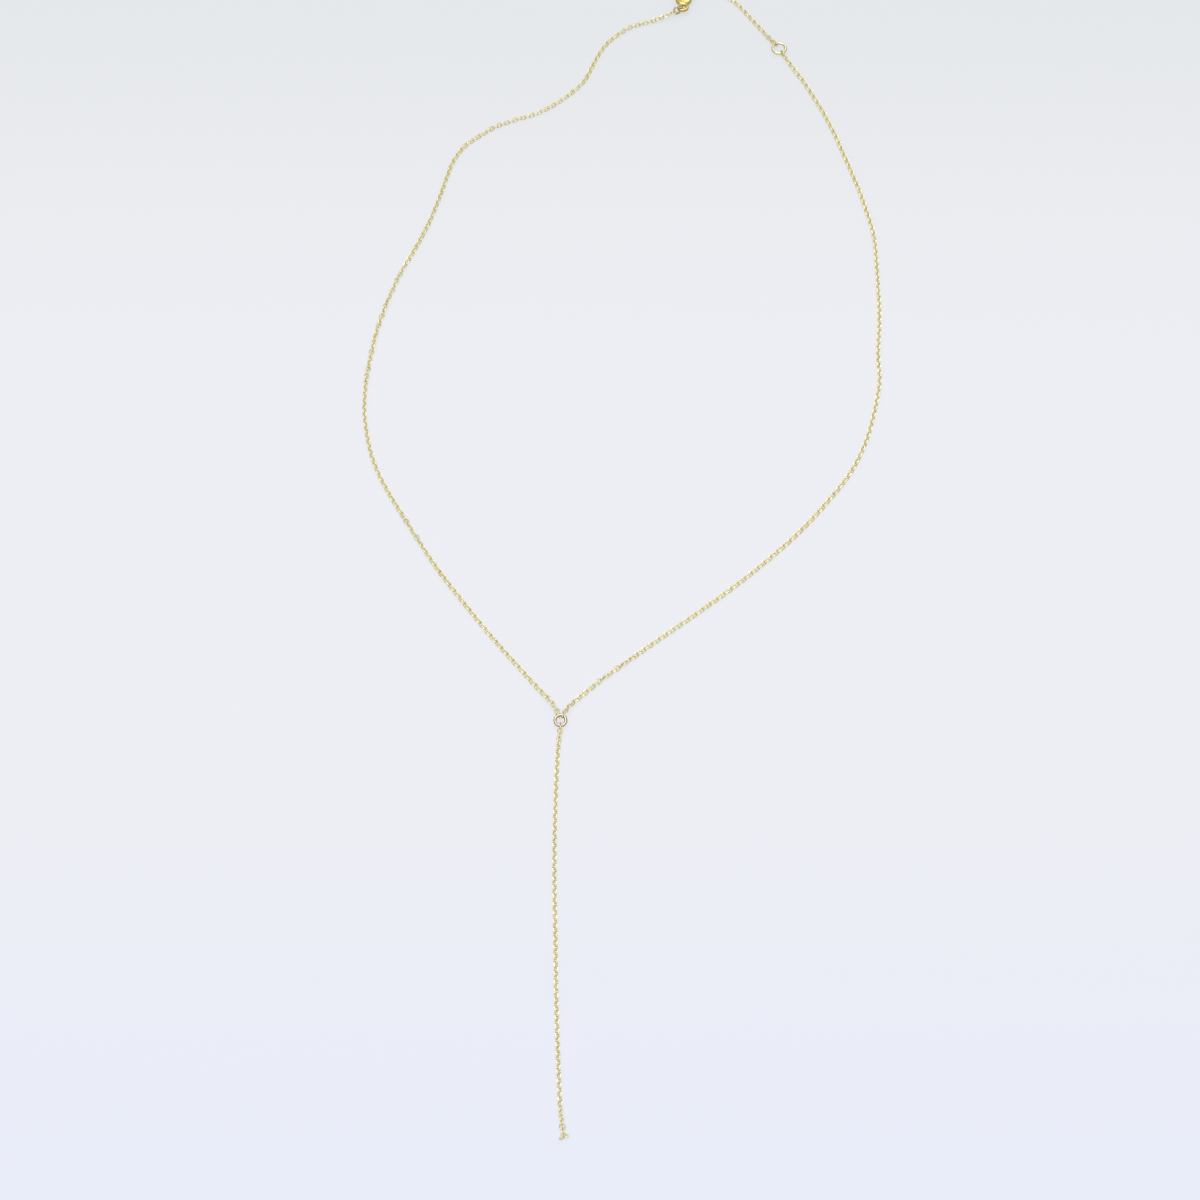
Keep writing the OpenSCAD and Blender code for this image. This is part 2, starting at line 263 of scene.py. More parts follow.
def put_mesh(
    name: str,
    points: np.ndarray,
    quads: np.ndarray,
    material: bpy.types.Material,
    nodes: tuple[str, ...],
    tone: np.ndarray | None = None,
    cut: np.ndarray | None = None,
) -> bpy.types.Object:
    """Makes one piece from arrays, dresses it and lets it stand for its CAD nodes.

    Args:
        name: The piece's name.
        points: Corner positions.
        quads: Four point numbers a face.
        material: Its finish.
        nodes: The CAD nodes that it replaces.
        tone: A brightness for each point, or none for an even one.
        cut: One on each face that is a flat cut and zero elsewhere, or none.

    Returns:
        The new object.
    """
    mesh = bpy.data.meshes.new(name)
    mesh.from_pydata(points.tolist(), [], quads.tolist())
    flat = np.zeros(len(quads)) if cut is None else cut
    mesh.polygons.foreach_set("use_smooth", flat < 0.5)
    even = np.full(len(points), EVEN_TONE) if tone is None else tone
    mesh.attributes.new("tone", "FLOAT", "POINT").data.foreach_set("value", even.astype(np.float32))
    mesh.attributes.new("cut", "FLOAT", "FACE").data.foreach_set("value", flat.astype(np.float32))
    mesh.materials.append(material)
    mesh.update()
    piece = bpy.data.objects.new(name, mesh)
    bpy.context.scene.collection.objects.link(piece)
    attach(piece, BODY)
    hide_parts(*nodes)
    log.info("%s: %d faces for %s", name, len(quads), ", ".join(nodes))
    return piece


# Chain and rings

# Added to a chain's seed, so that its links' tones don't follow their rolls.
TONE_SEED = 100


@dataclass(frozen=True)
class Gauge:
    """Sizes of the cable chain, and of one link's mesh.

    Attributes:
        wire: Diameter of the links' wire.
        width: Outside width of a link.
        pitch: Distance from one link's middle to the next.
        clearance: Room between a link and what passes through it.
        lying_roll: How far the links are rolled where the chain lies flat, in degrees.
        bend_steps: Straight steps in the half turn at each end of a link.
        section: Places of a wire section's corners, in degrees from its outer side.
        touch: How near to the cut's plane a corner counts as lying on it.
    """

    wire: float = 0.24 * MM
    width: float = 0.98 * MM
    pitch: float = 0.854 * MM
    clearance: float = 0.12 * MM
    lying_roll: float = 45.0
    bend_steps: int = 4
    section: tuple[float, ...] = (0, 45, 90, 150, 210, 270, 315)
    touch: float = 1e-9

    @property
    def gap(self) -> float:
        """Inside width of a link."""
        return self.width - 2 * self.wire

    @property
    def length(self) -> float:
        """Inside length of a link."""
        return self.pitch + self.clearance

    def end_length(self, ring_wire: float) -> float:
        """Inside length of a link that also holds a ring's wire."""
        return ring_wire + self.wire + 3 * self.clearance

    def end_gap(self, ring_wire: float) -> float:
        """Inside width of a link that also holds a ring's wire."""
        return ring_wire + 2 * self.clearance

    def resting(self, roll: np.ndarray | float) -> np.ndarray:
        """Height of a link's middle at rest: its bend's reach down, and half its wire.

        Args:
            roll: The link's roll in degrees, or one for each of several links.

        Returns:
            One height a roll.
        """
        reach = (self.gap + self.wire) / 2
        turned = np.radians(roll)
        down = reach * np.maximum(np.abs(np.cos(turned)), np.abs(np.sin(turned)))
        return down + self.wire / 2

    def standing(self, ring_wire: float) -> float:
        """Height at which a ring's wire runs through a link on edge."""
        return self.end_gap(ring_wire) / 2 + self.wire

    @property
    def lying(self) -> float:
        """Height of the chain's middle where it lies flat."""
        return float(self.resting(self.lying_roll))

    def link(self, inner_length: float, inner_gap: float) -> tuple[np.ndarray, np.ndarray]:
        """One link along X, its thin way along Y and its width along Z, with its diamond cuts.

        The wire's middle follows two half circles joined by straights. Round it each corner stands
        at the wire's radius, at its angle from the outer side. A corner that lies past the plane at
        45 degrees through the link's outer edge is moved back square onto that plane, which leaves
        the flat that the diamond tool cuts.

        Args:
            inner_length: Inside length of the link.
            inner_gap: Inside width of the link.

        Returns:
            The corners, and for each face whether it lies on a cut.
        """
        bend, half = (inner_gap + self.wire) / 2, (inner_length - inner_gap) / 2
        turn = np.linspace(-90, 90, self.bend_steps + 1)
        turn = np.radians(np.concatenate([turn, turn + 180]))[:, None]
        end = half * np.repeat([1.0, -1.0], self.bend_steps + 1)[:, None]
        angle = np.radians(self.section)[None, :]
        out = bend + self.wire / 2 * np.cos(angle)
        x = end + out * np.cos(turn)
        y = np.broadcast_to(self.wire / 2 * np.sin(angle), x.shape)
        z = out * np.sin(turn)
        limit = bend + self.wire / 2
        past = np.abs(y) + np.abs(z) - limit
        on_plane = past > -self.touch
        back = np.maximum(past, 0) / 2
        y, z = y - np.sign(y) * back, z - np.sign(z) * back
        points = np.stack([x, y, z], axis=-1).reshape(-1, 3)
        return points, on_plane.ravel()[self.link_faces()].all(axis=1).astype(float)

    def link_faces(self) -> np.ndarray:
        """Quads of one link's mesh."""
        return grid_faces(2 * (self.bend_steps + 1), len(self.section))


@dataclass(frozen=True)
class Ring:
    """A round ring of wire in space.

    Attributes:
        middle: Its middle.
        first: Direction at 0 degrees round it.
        second: Direction at 90 degrees round it.
        outside: Outside diameter.
        wire: Wire diameter.
    """

    middle: tuple[float, float, float]
    first: tuple[float, float, float]
    second: tuple[float, float, float]
    outside: float
    wire: float

    @property
    def radius(self) -> float:
        """Radius of the wire's middle line."""
        return (self.outside - self.wire) / 2

    def spot(self, degrees: float) -> np.ndarray:
        """The point on the wire's middle line at an angle.

        Args:
            degrees: The angle round the ring.

        Returns:
            The point.
        """
        angle = np.radians(degrees)
        turned = np.cos(angle) * np.array(self.first) + np.sin(angle) * np.array(self.second)
        return np.array(self.middle) + self.radius * turned

    def tangent(self, degrees: float) -> np.ndarray:
        """The wire's direction at an angle."""
        angle = np.radians(degrees)
        return np.cos(angle) * np.array(self.second) - np.sin(angle) * np.array(self.first)


@dataclass(frozen=True)
class Hook:
    """Where a chain holds a ring: the ring, and the angle round it."""

    ring: Ring
    degrees: float


@dataclass(frozen=True)
class Twist:
    """A stretch of chain that lies twisted.

    Attributes:
        start: Distance along the chain where it starts.
        end: Distance where it ends.
        turn: How far the links are turned in all, in degrees.
    """

    start: float
    end: float
    turn: float


@dataclass
class Route:
    """A chain's middle line: a smooth curve through its points, cut into short straight steps.

    Attributes:
        points: The points that it goes through, all with heights.
        floor: Lowest height of the line.
        steps: Straight steps between two points.
        line: The line's own points, worked out from the others.
        distance: Distance along the line at each of them.
    """

    points: np.ndarray
    floor: float
    steps: int = 12
    line: np.ndarray = field(init=False)
    distance: np.ndarray = field(init=False)

    def __post_init__(self) -> None:
        """Works out the curve: each stretch is a cubic from its two points and their neighbours."""
        p = self.points
        p = np.vstack([2 * p[0] - p[1], p, 2 * p[-1] - p[-2]])
        a, b, c, d = (p[i:len(p) - 3 + i, None, :] for i in range(4))
        t = (np.arange(self.steps) / self.steps)[None, :, None]
        square, cube = 2 * a - 5 * b + 4 * c - d, 3 * b - a - 3 * c + d
        curve = (2 * b + (c - a) * t + square * t ** 2 + cube * t ** 3) / 2
        self.line = np.vstack([curve.reshape(-1, 3), p[-2]])
        self.line[:, 2] = np.maximum(self.line[:, 2], self.floor)
        lengths = np.linalg.norm(np.diff(self.line, axis=0), axis=1)
        self.distance = np.concatenate([[0.0], np.cumsum(lengths)])

    @property
    def length(self) -> float:
        """Length of the line."""
        return float(self.distance[-1])

    def at(self, s: np.ndarray) -> np.ndarray:
        """Points at distances along the line."""
        return np.stack([np.interp(s, self.distance, self.line[:, k]) for k in range(3)], axis=-1)

    def chord(self, s: np.ndarray, length: np.ndarray) -> np.ndarray:
        """Direction of the line over a length round a distance."""
        half = np.asarray(length) / 2
        return unit(self.at(s + half) - self.at(s - half))


@dataclass
class CableChain:
    """A cable chain of diamond-cut links along a route, made as one mesh.

    Attributes:
        name: The piece's name.
        nodes: The CAD nodes that it replaces.
        route_points: Points of its route, without height where it lies on the surface.
        start: The ring that it starts from.
        end: The ring that it ends on, or none where it ends free.
        twists: Its twisted stretches.
        turned_headings: Headings of its last two links where it ends free, in degrees.
        seed: Seed of the small differences from link to link.
        gauge: The chain's sizes.
        ease: Length over which a ring's roll eases into the lying one.
        sway: Largest small roll that a link has of its own, in degrees.
        steady: How many links at each end have no roll of their own.
        tone_spread: How much the links differ in brightness.
    """

    name: str
    nodes: tuple[str, ...]
    route_points: tuple[tuple[float, ...], ...]
    start: Hook
    end: Hook | None = None
    twists: tuple[Twist, ...] = ()
    turned_headings: tuple[float, float] = (-30.0, 212.0)
    seed: int = 1
    gauge: Gauge = field(default_factory=Gauge)
    ease: float = 6 * Gauge.pitch
    sway: float = 3.0
    steady: int = 3
    tone_spread: float = 0.5

    def route(self) -> Route:
        """The chain's middle line from its first ring to its last.

        Returns:
            The line, which starts on a ring's wire and ends on the other ring's or free.
        """
        lying = self.gauge.lying
        points = [np.array(p) * MM if len(p) > 2 else np.array([p[0] * MM, p[1] * MM, lying])
                  for p in self.route_points]
        points.insert(0, self.start.ring.spot(self.start.degrees))
        if self.end:
            points.append(self.end.ring.spot(self.end.degrees))
        return Route(np.array(points), lying)

    def first_seat(self, ring_wire: float) -> float:
        """Distance from a ring's wire to the middle of the link that holds it."""
        return self.gauge.end_length(ring_wire) / 2 - self.gauge.clearance - ring_wire / 2

    def second_seat(self, ring_wire: float) -> float:
        """Distance from a ring's wire to the middle of the second link."""
        reach = (self.gauge.end_length(ring_wire) + self.gauge.length) / 2
        return self.first_seat(ring_wire) + reach - self.gauge.clearance

    def seats(self, length: float) -> np.ndarray:
        """Distances of the links' middles.

        Args:
            length: The route's length.

        Returns:
            One distance a link. Between two rings the links share the room evenly.
        """
        pitch, wire = self.gauge.pitch, self.start.ring.wire
        held, first = self.first_seat(wire), self.second_seat(wire)
        if self.end is None:
            count = int(np.floor((length - first) / pitch))
            return np.concatenate([[held], first + pitch * np.arange(count + 1)])
        last_held = length - self.first_seat(self.end.ring.wire)
        last = length - self.second_seat(self.end.ring.wire)
        count = int(np.ceil((last - first) / pitch))
        return np.concatenate([[held], np.linspace(first, last, count + 1), [last_held]])

    @staticmethod
    def square_roll(along: np.ndarray, tangent: np.ndarray) -> float:
        """Roll at which a link stands square to the wire that it holds."""
        across = np.cross(tangent, along)
        return float(np.degrees(np.arctan2(across @ side_of(along), across @ over_of(along))))

    def twisted(self, s: np.ndarray) -> np.ndarray:
        """Roll that the twisted stretches add: each rises smoothly from none to its turn.

        Args:
            s: Distances from the first link's middle.

        Returns:
            Rolls in degrees.
        """
        rolls = np.zeros_like(s)
        for twist in self.twists:
            part = np.clip((s - twist.start) / (twist.end - twist.start), 0, 1)
            rolls += twist.turn * part * part * (3 - 2 * part)
        return rolls

    def rolls(self, s: np.ndarray, last: float, roll_a: float, roll_b: float) -> np.ndarray:
        """Roll of the chain at distances from its first link, without the quarter turns.

        Args:
            s: Distances from the first link's middle.
            last: Distance of the last link's middle.
            roll_a: Roll at the first ring.
            roll_b: Roll at the last ring or the free end.

        Returns:
            Rolls in degrees.
        """
        lying = self.gauge.lying_roll
        away = (lying - roll_a) * np.clip(s / self.ease, 0, 1)
        back = (roll_b - lying) * np.clip((s - last + self.ease) / self.ease, 0, 1)
        return roll_a + away + back + self.twisted(s)

    def place(self) -> tuple[np.ndarray, np.ndarray, np.ndarray, np.ndarray]:
        """Works out where every link goes.

        Returns:
            The links' middles, their directions, their rolls in degrees, and which hold a ring.
        """
        gauge, route = self.gauge, self.route()
        s = self.seats(route.length)
        last = len(s) - 1
        on_ring = np.zeros(len(s), bool)
        on_ring[0] = True
        lengths = np.full(len(s), gauge.length)
        lengths[0] = gauge.end_length(self.start.ring.wire)
        if self.end:
            on_ring[last] = True
            lengths[last] = gauge.end_length(self.end.ring.wire)
        u_a = route.chord(s[0], lengths[0])
        roll_a = self.square_roll(u_a, self.start.ring.tangent(self.start.degrees))
        roll_a -= 180 * round(roll_a / 180)
        if self.end:
            u_b = route.chord(s[last], lengths[last])
            roll_b = self.square_roll(u_b, self.end.ring.tangent(self.end.degrees)) - 90 * last
        else:
            roll_b = -90.0 * last
        roll_b -= 180 * round((roll_b - gauge.lying_roll) / 180)
        rest = gauge.resting(self.rolls(route.distance - s[0], s[last] - s[0], roll_a, roll_b))
        route.line[:, 2] = np.maximum(route.line[:, 2], rest)
        middles = (route.at(s + lengths / 2) + route.at(s - lengths / 2)) / 2
        middles[on_ring] = route.at(s[on_ring])
        along = route.chord(s, lengths)
        turns = self.rolls(s - s[0], s[last] - s[0], roll_a, roll_b) + 90 * np.arange(len(s))
        own = np.random.default_rng(self.seed).uniform(-self.sway, self.sway, len(s))
        own[:self.steady] = 0
        own[-self.steady:] = 0
        turns = turns + own
        if self.end is None:
            middles, along, turns, on_ring = self.turn_end(middles, along, turns, on_ring)
        return middles, along, turns, on_ring

    def turn_end(
        self, middles: np.ndarray, along: np.ndarray, turns: np.ndarray, on_ring: np.ndarray
    ) -> tuple[np.ndarray, np.ndarray, np.ndarray, np.ndarray]:
        """Adds the two links that lie turned aside at a free end.

        The first lies flat with its bend round the end of the link before it, and the second stands
        in the flat one's other bend.

        Args:
            middles: Middles of the links so far.
            along: Their directions.
            turns: Their rolls.
            on_ring: Whether each is on a ring.

        Returns:
            The same four with two more links.
        """
        gauge = self.gauge
        end_reach, bend_reach = (gauge.length + gauge.wire) / 2, (gauge.length - gauge.gap) / 2
        angle = np.radians(self.turned_headings)
        flat, stand = np.stack([np.cos(angle), np.sin(angle), 0 * angle], axis=-1)
        flat_at = middles[-1] + end_reach * along[-1] + bend_reach * flat
        stand_at = flat_at + bend_reach * flat + end_reach * stand
        return (
            np.vstack([middles, flat_at, stand_at]), np.vstack([along, flat, stand]),
            np.concatenate([turns, [90.0, 0.0]]), np.concatenate([on_ring, [False, False]]),
        )

    def build(self, material: bpy.types.Material) -> bpy.types.Object:
        """Makes the chain: every link's corners are one link's, turned by its own three directions.

        Args:
            material: The chain's finish.

        Returns:
            The chain as one object.
        """
        gauge = self.gauge
        middles, along, turns, on_ring = self.place()
        roll = np.radians(turns)[:, None]
        side, over = side_of(along), over_of(along)
        thin = np.cos(roll) * side - np.sin(roll) * over
        wide = np.sin(roll) * side + np.cos(roll) * over
        plain, cut = gauge.link(gauge.length, gauge.gap)
        shapes = np.repeat(plain[None], len(middles), axis=0)
        cuts = np.repeat(cut[None], len(middles), axis=0)
        for k, hook in ((0, self.start), (len(middles) - 1, self.end)):
            if hook and on_ring[k]:
                wire = hook.ring.wire
                shapes[k], cuts[k] = gauge.link(gauge.end_length(wire), gauge.end_gap(wire))
        points = (
            middles[:, None] + shapes[..., :1] * along[:, None]
            + shapes[..., 1:2] * thin[:, None] + shapes[..., 2:] * wide[:, None]
        )
        shift = plain.shape[0] * np.arange(len(middles))
        quads = (gauge.link_faces()[None] + shift[:, None, None]).reshape(-1, 4)
        rng = np.random.default_rng(self.seed + TONE_SEED)
        tone = np.repeat(rng.uniform(0, self.tone_spread, len(middles)), plain.shape[0])
        return put_mesh(
            self.name, points.reshape(-1, 3), quads, material, self.nodes,
            tone, cuts.ravel(),
        )


@dataclass
class JumpRing:
    """A ring of round wire with a hair-wide dip at its closed joint.

    Attributes:
        name: The piece's name.
        node: The CAD node that it replaces.
        ring: Its place and sizes.
        slot: The record's slot of its finish; not used.
        joint: Angle of the joint, in degrees.
        around: Corners round the ring.
        section: Corners round the wire.
        dip: How much thinner the wire is at the joint, as a share.
        dip_width: Width of the dip, in degrees round the ring.
    """

    name: str
    node: str
    ring: Ring
    slot: Slot
    joint: float
    around: int = 120
    section: int = 24
    dip: float = 0.06
    dip_width: float = 3.0

    def build(self, material: bpy.types.Material) -> bpy.types.Object:
        """Makes the ring: a circle carried round a circle, thinner where the joint is.

        Args:
            material: The ring's finish.

        Returns:
            The ring as one object.
        """
        turn = np.linspace(0, 360, self.around, endpoint=False)[:, None]
        off = (turn - self.joint + 180) % 360 - 180
        wire = self.ring.wire / 2 * (1 - self.dip * np.exp(-(off / self.dip_width) ** 2))
        angle = np.radians(turn)
        across = np.radians(np.linspace(0, 360, self.section, endpoint=False))[None, :]
        first, second = np.array(self.ring.first), np.array(self.ring.second)
        normal = np.cross(first, second)
        out = np.cos(angle)[..., None] * first + np.sin(angle)[..., None] * second
        reach = self.ring.radius + wire * np.cos(across)
        rise = wire * np.sin(across)
        points = np.array(self.ring.middle) + reach[..., None] * out + rise[..., None] * normal
        quads = grid_faces(self.around, self.section)[:, ::-1]
        return put_mesh(self.name, points.reshape(-1, 3), quads, material, (self.node,))


@dataclass
class LobsterClasp:
    """A lobster claw: an eye, a body that swells to its full width, and a hook round an opening.

    Attributes:
        eye: Middle of its eye.
        heading: Direction that it points in, in degrees.
        length: Length from the eye's middle to the hook's top.
        half_width: Half its full width.
        thickness: Thickness of its body.
        tail_radius: Radius of the body's lower end.
        tail_at: Where the lower end's circle stands.
        hole_half: Half the opening's width.
        hole_low: Where the opening starts.
        hole_high: Where it ends.
        eye_outside: Outside diameter of the eye.
        eye_hole: Diameter of its hole.
        eye_thickness: Thickness of the eye.
        softness: How square the body's section is, from 2 for an ellipse.
        around: Sections round the opening.
        section: Corners of a section.
        facings: Directions that the outline is worked out from.
        skew: Least cosine between an angle and a direction that is used.
    """

    eye: tuple[float, float, float]
    heading: float
    length: float = 8.8 * MM
    half_width: float = 1.8 * MM
    thickness: float = 1.1 * MM
    tail_radius: float = 1.6 * MM
    tail_at: float = 2.15 * MM
    hole_half: float = 1.0 * MM
    hole_low: float = 3.6 * MM
    hole_high: float = 7.6 * MM
    eye_outside: float = 2.4 * MM
    eye_hole: float = 1.1 * MM
    eye_thickness: float = 0.7 * MM
    softness: float = 2.7
    around: int = 160
    section: int = 36
    facings: int = 720
    skew: float = 1e-6

    def hull(
        self, circles: tuple[tuple[float, float], ...], middle: float, angle: np.ndarray
    ) -> np.ndarray:
        """Distance from a middle to the outline round circles on the clasp's axis, along angles.

        The outline is where the supporting line of the circles is: for each direction the farthest
        circle's reach, and the distance is the least over all directions of that reach over the
        cosine.

        Args:
            circles: Pairs of a place on the axis and a radius.
            middle: The place on the axis that the angles start from.
            angle: Angles from the axis' right side, in radians.

        Returns:
            One distance an angle.
        """
        facing = np.linspace(0, 2 * np.pi, self.facings, endpoint=False)
        reach = np.max([(at - middle) * np.sin(facing) + radius for at, radius in circles], axis=0)
        cosine = np.cos(angle[:, None] - facing[None, :])
        far = np.where(cosine > self.skew, reach / np.maximum(cosine, self.skew), np.inf)
        return far.min(axis=1)

    def soft_section(self) -> tuple[np.ndarray, np.ndarray]:
        """A section between an ellipse and a box: cosine and sine with their sizes to a power.

        Returns:
            How far out and how far up each corner stands, from -1 to 1, in one row.
        """
        turn = np.linspace(0, 2 * np.pi, self.section, endpoint=False)[None, :]
        power = 2 / self.softness
        return (
            np.sign(np.cos(turn)) * np.abs(np.cos(turn)) ** power,
            np.sign(np.sin(turn)) * np.abs(np.sin(turn)) ** power,
        )

    def body(self) -> tuple[np.ndarray, np.ndarray]:
        """The body and hook: at each angle a soft section from the opening to the outline.

        Returns:
            Corners in the clasp's own directions, and faces.
        """
        middle = (self.hole_low + self.hole_high) / 2
        turn = np.linspace(0, 2 * np.pi, self.around, endpoint=False)
        half, hole = self.half_width, self.hole_half
        outer = self.hull(
            ((self.tail_at, self.tail_radius), (self.hole_low, half), (self.length - half, half)),
            middle, turn,
        )
        inner = self.hull(
            ((self.hole_low + hole, hole), (self.hole_high - hole, hole)), middle, turn
        )
        out, up = self.soft_section()
        reach = ((outer + inner)[:, None] + (outer - inner)[:, None] * out) / 2
        points = np.stack([
            reach * np.cos(turn)[:, None], middle + reach * np.sin(turn)[:, None],
            np.broadcast_to(self.thickness / 2 * up, reach.shape),
        ], axis=-1)
        return points.reshape(-1, 3), grid_faces(self.around, self.section)[:, ::-1]

    def eye_ring(self) -> tuple[np.ndarray, np.ndarray]:
        """The eye: a soft section carried round its hole.

        Returns:
            Corners in the clasp's own directions, and faces.
        """
        count = self.around // 2
        turn = np.linspace(0, 2 * np.pi, count, endpoint=False)[:, None]
        out, up = self.soft_section()
        wide, narrow = self.eye_outside, self.eye_hole
        reach = (wide + narrow) / 4 + (wide - narrow) / 4 * out
        rise = np.broadcast_to(self.eye_thickness / 2 * up, (count, self.section))
        points = np.stack([reach * np.cos(turn), reach * np.sin(turn), rise], axis=-1)
        return points.reshape(-1, 3), grid_faces(count, self.section)[:, ::-1]

    def build(self, material: bpy.types.Material) -> bpy.types.Object:
        """Makes the clasp from its eye and its body, which meet in one piece.

        Args:
            material: The clasp's finish.

        Returns:
            The clasp as one object.
        """
        body, body_faces = self.body()
        eye, eye_faces = self.eye_ring()
        angle = np.radians(self.heading)
        own = np.array([
            [np.sin(angle), -np.cos(angle), 0.0], [np.cos(angle), np.sin(angle), 0.0],
            [0.0, 0.0, 1.0],
        ])
        points = np.array(self.eye) + np.vstack([body, eye]) @ own
        quads = np.vstack([body_faces, eye_faces + len(body)])
        return put_mesh("clasp_body", points, quads, material, ("clasp",))


# Studio


@dataclass(frozen=True)
class Lamp:
    """A soft square lamp that faces the necklace: its name, place, side and power in watts."""

    name: str
    at: tuple[float, float, float]
    size: float
    power: float

    def build(self) -> None:
        """Adds the lamp, turned so that it looks at the middle of the scene."""
        data = bpy.data.lights.new(self.name, "AREA")
        data.shape, data.size, data.energy = "SQUARE", self.size, self.power
        lamp = bpy.data.objects.new(self.name, data)
        lamp.location = self.at
        x, y, z = unit(np.array(self.at))
        lamp.rotation_euler = (float(np.arccos(z)), 0.0, float(np.arctan2(y, x) + np.pi / 2))
        bpy.context.scene.collection.objects.link(lamp)


@dataclass
class Studio:
    """Plain pale floor, soft light from all sides, and a camera that looks down at 50 degrees.

    Attributes:
        camera_at: The camera's place.
        camera_down: How far it looks down, in degrees.
        lens: Its focal length in millimetres.
        sensor: Its sensor's width in millimetres.
        clip: Nearest and farthest distance that it sees.
        floor_half: Half the floor's side.
        floor_colour: The floor's own colour, as sRGB hex.
        floor_roughness: Its roughness.
        floor_shine: How strongly it reflects.
        floor_glows: Light that it gives off at distances along Y, as sRGB hex.
        sky: Brightness of the surroundings by height, 0 at the horizon and below and 1 overhead.
        lamps: The lamps.
    """

    camera_at: tuple[float, float, float] = (-4.5 * MM, -472.0 * MM, 534.2 * MM)
    camera_down: float = 50.1
    lens: float = 120.03
    sensor: float = 36.0
    clip: tuple[float, float] = (0.01, 50.0)
    floor_half: float = 6.0
    floor_colour: str = "#66666a"
    floor_roughness: float = 0.9
    floor_shine: float = 0.1
    floor_glows: tuple[tuple[float, str], ...] = (
        (-150.0 * MM, "#d4d8e4"), (-60.0 * MM, "#d8d9de"),
        (20.0 * MM, "#d8d9dd"), (140.0 * MM, "#cfd2d4"),
    )
    sky: tuple[tuple[float, float], ...] = (
        (0.0, 0.22), (0.15, 0.22), (0.4, 0.6), (0.6, 0.86), (0.8, 0.92), (1.0, 0.95),
    )
    lamps: tuple[Lamp, ...] = (
        Lamp("lamp_over", (-0.1, -0.1, 1.0), 0.6, 3.8),
        Lamp("lamp_back", (0.3, 0.9, 1.1), 0.5, 2.0),
    )

    def camera(self) -> None:
        """Puts the camera where the photograph was taken from."""
        data = bpy.data.cameras.new("camera")
        data.lens, data.sensor_width = self.lens, self.sensor
        data.clip_start, data.clip_end = self.clip
        data.dof.use_dof = False
        camera = bpy.data.objects.new("camera", data)
        camera.location = self.camera_at
        camera.rotation_euler = (np.radians(90 - self.camera_down), 0.0, 0.0)
        bpy.context.scene.collection.objects.link(camera)
        bpy.context.scene.camera = camera

    def floor(self) -> None:
        """Lays the pale floor, which gives off light of its own so that shadows stay faint."""
        half = self.floor_half
        mesh = bpy.data.meshes.new("floor")
        square = [(-half, -half, 0), (half, -half, 0), (half, half, 0), (-half, half, 0)]
        mesh.from_pydata(square, [], [(0, 1, 2, 3)])
        material = bpy.data.materials.new("matte_white_paper")
        material.use_nodes = True
        tree = material.node_tree
        near, far = self.floor_glows[0][0], self.floor_glows[-1][0]
        place = add_node(tree, "ShaderNodeTexCoord", {}, {})
        split = add_node(tree, "ShaderNodeSeparateXYZ", {}, {0: place.outputs["Object"]})
        share = add_node(
            tree, "ShaderNodeMapRange", {"From Min": near, "From Max": far},
            {"Value": split.outputs[1]},
        )
        glows = tuple(
            ((at - near) / (far - near), linear_colour(glow)) for at, glow in self.floor_glows
        )
        ramp = add_node(tree, "ShaderNodeValToRGB", {}, {0: share.outputs[0]}, glows)
        ramp.color_ramp.interpolation = "EASE"
        shader = tree.nodes["Principled BSDF"]
        shader.inputs["Base Color"].default_value = linear_colour(self.floor_colour)
        shader.inputs["Roughness"].default_value = self.floor_roughness
        shader.inputs["Specular IOR Level"].default_value = self.floor_shine
        shader.inputs["Emission Strength"].default_value = 1.0
        tree.links.new(ramp.outputs[0], shader.inputs["Emission Color"])
        mesh.materials.append(material)
        floor = bpy.data.objects.new("floor", mesh)
        bpy.context.scene.collection.objects.link(floor)

    def world(self) -> None:
        """Surrounds the scene with a studio that is bright above and darker towards the floor."""
        world = bpy.data.worlds.new("studio")
        bpy.context.scene.world = world
        world.use_nodes = True
        tree = world.node_tree
        place = add_node(tree, "ShaderNodeTexCoord", {}, {})
        split = add_node(tree, "ShaderNodeSeparateXYZ", {}, {0: place.outputs["Generated"]})
        ramp = add_node(
            tree, "ShaderNodeValToRGB", {}, {0: split.outputs[2]},
            tuple((at, (value, value, value, 1.0)) for at, value in self.sky),
        )
        tree.links.new(ramp.outputs[0], tree.nodes["Background"].inputs[0])

    def build(self) -> None:
        """Sets up the floor, the lights and the plain colour transform."""
        self.floor()
        self.world()
        for lamp in self.lamps:
            lamp.build()
        scene = bpy.context.scene
        scene.view_settings.view_transform = "Standard"
        scene.view_settings.look = "None"


# The necklace


